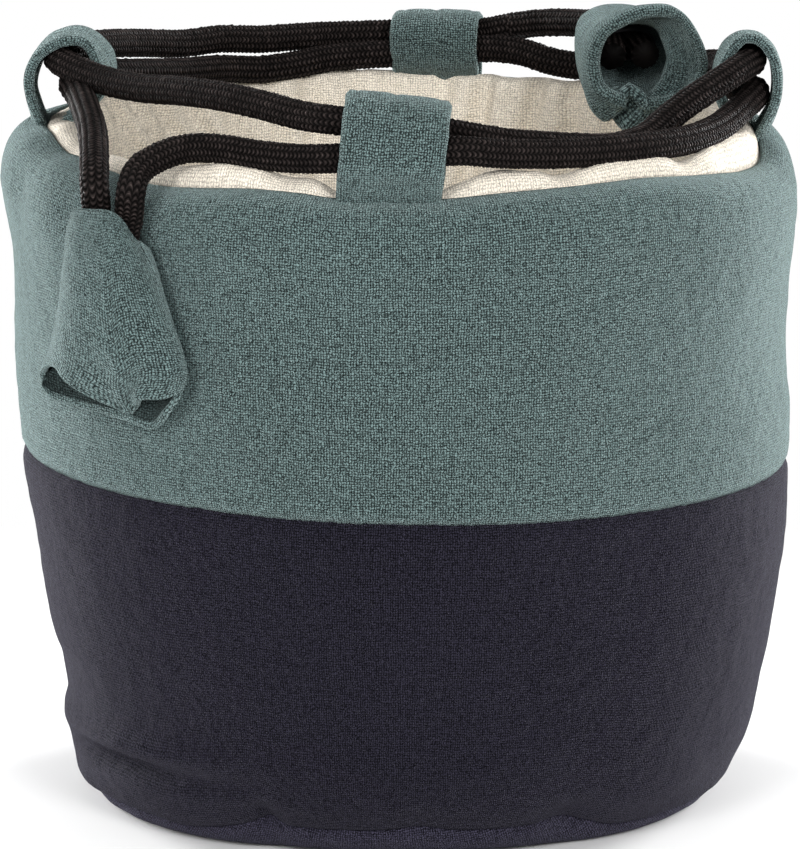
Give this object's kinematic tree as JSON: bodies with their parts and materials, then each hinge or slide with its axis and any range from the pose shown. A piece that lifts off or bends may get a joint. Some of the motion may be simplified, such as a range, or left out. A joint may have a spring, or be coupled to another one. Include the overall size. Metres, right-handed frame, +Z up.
{
  "type": "tea set storage bag",
  "caption": "Padded round drawstring pouch for carrying a tea set, open at the top, with a linen lining, rim loops and cloth-covered cord ends.",
  "frame": {"origin": "middle of the flat underside, on the surface the bag stands on", "axes": "+Z up, out of the open mouth; -Y is the front, with the front cord loop and the hanging cord cover to its left; +X is to the right seen from the front"},
  "size_m": [0.134, 0.1346, 0.1314],
  "materials": {
    "upper_cloth": "matte green-teal plain-weave cotton and linen",
    "lower_cloth": "matte navy brushed plain weave",
    "lining_cloth": "undyed slubby linen",
    "padding": "cotton wadding",
    "cord": "brown-black braided cord with a slight sheen",
    "thread": "dark sewing thread"
  },
  "bodies": {
    "bag": {"outer_upper_band": "upper_cloth", "outer_lower_band": "lower_cloth", "outer_base_panel": "lower_cloth", "wall_padding": "padding", "base_padding": "padding", "lining_wall": "lining_cloth", "lining_base": "lining_cloth", "loop_front": "upper_cloth", "loop_right": "upper_cloth", "loop_back": "upper_cloth", "loop_left": "upper_cloth", "drawcord_hanging_ring": "cord", "drawcord_hanging_front_tail": "cord", "drawcord_hanging_back_tail": "cord", "drawcord_lying_ring": "cord", "drawcord_lying_back_tail": "cord", "drawcord_lying_side_tail": "cord"},
    "hanging_cover": {"cord_cover_hanging": "upper_cloth", "cord_ends_hanging": "cord", "cord_binding_hanging": "thread"},
    "lying_cover": {"cord_cover_lying": "upper_cloth", "cord_ends_lying": "cord", "cord_binding_lying": "thread"}
  },
  "joints": [
    {"name": "hanging_cover_swing", "type": "hinge", "parent": "bag", "child": "hanging_cover", "pos_m": [-0.0435, -0.0509, 0.115], "axis": [-0.7604, 0.6494, 0], "range_deg": [0, 110], "deforming": ["drawcord_hanging_front_tail", "drawcord_hanging_back_tail"]},
    {"name": "lying_cover_flip", "type": "hinge", "parent": "bag", "child": "lying_cover", "pos_m": [0.037, 0.043, 0.1241], "axis": [-0.9713, -0.2378, 0], "range_deg": [0, 140], "deforming": ["drawcord_lying_back_tail", "drawcord_lying_side_tail"]}
  ]
}
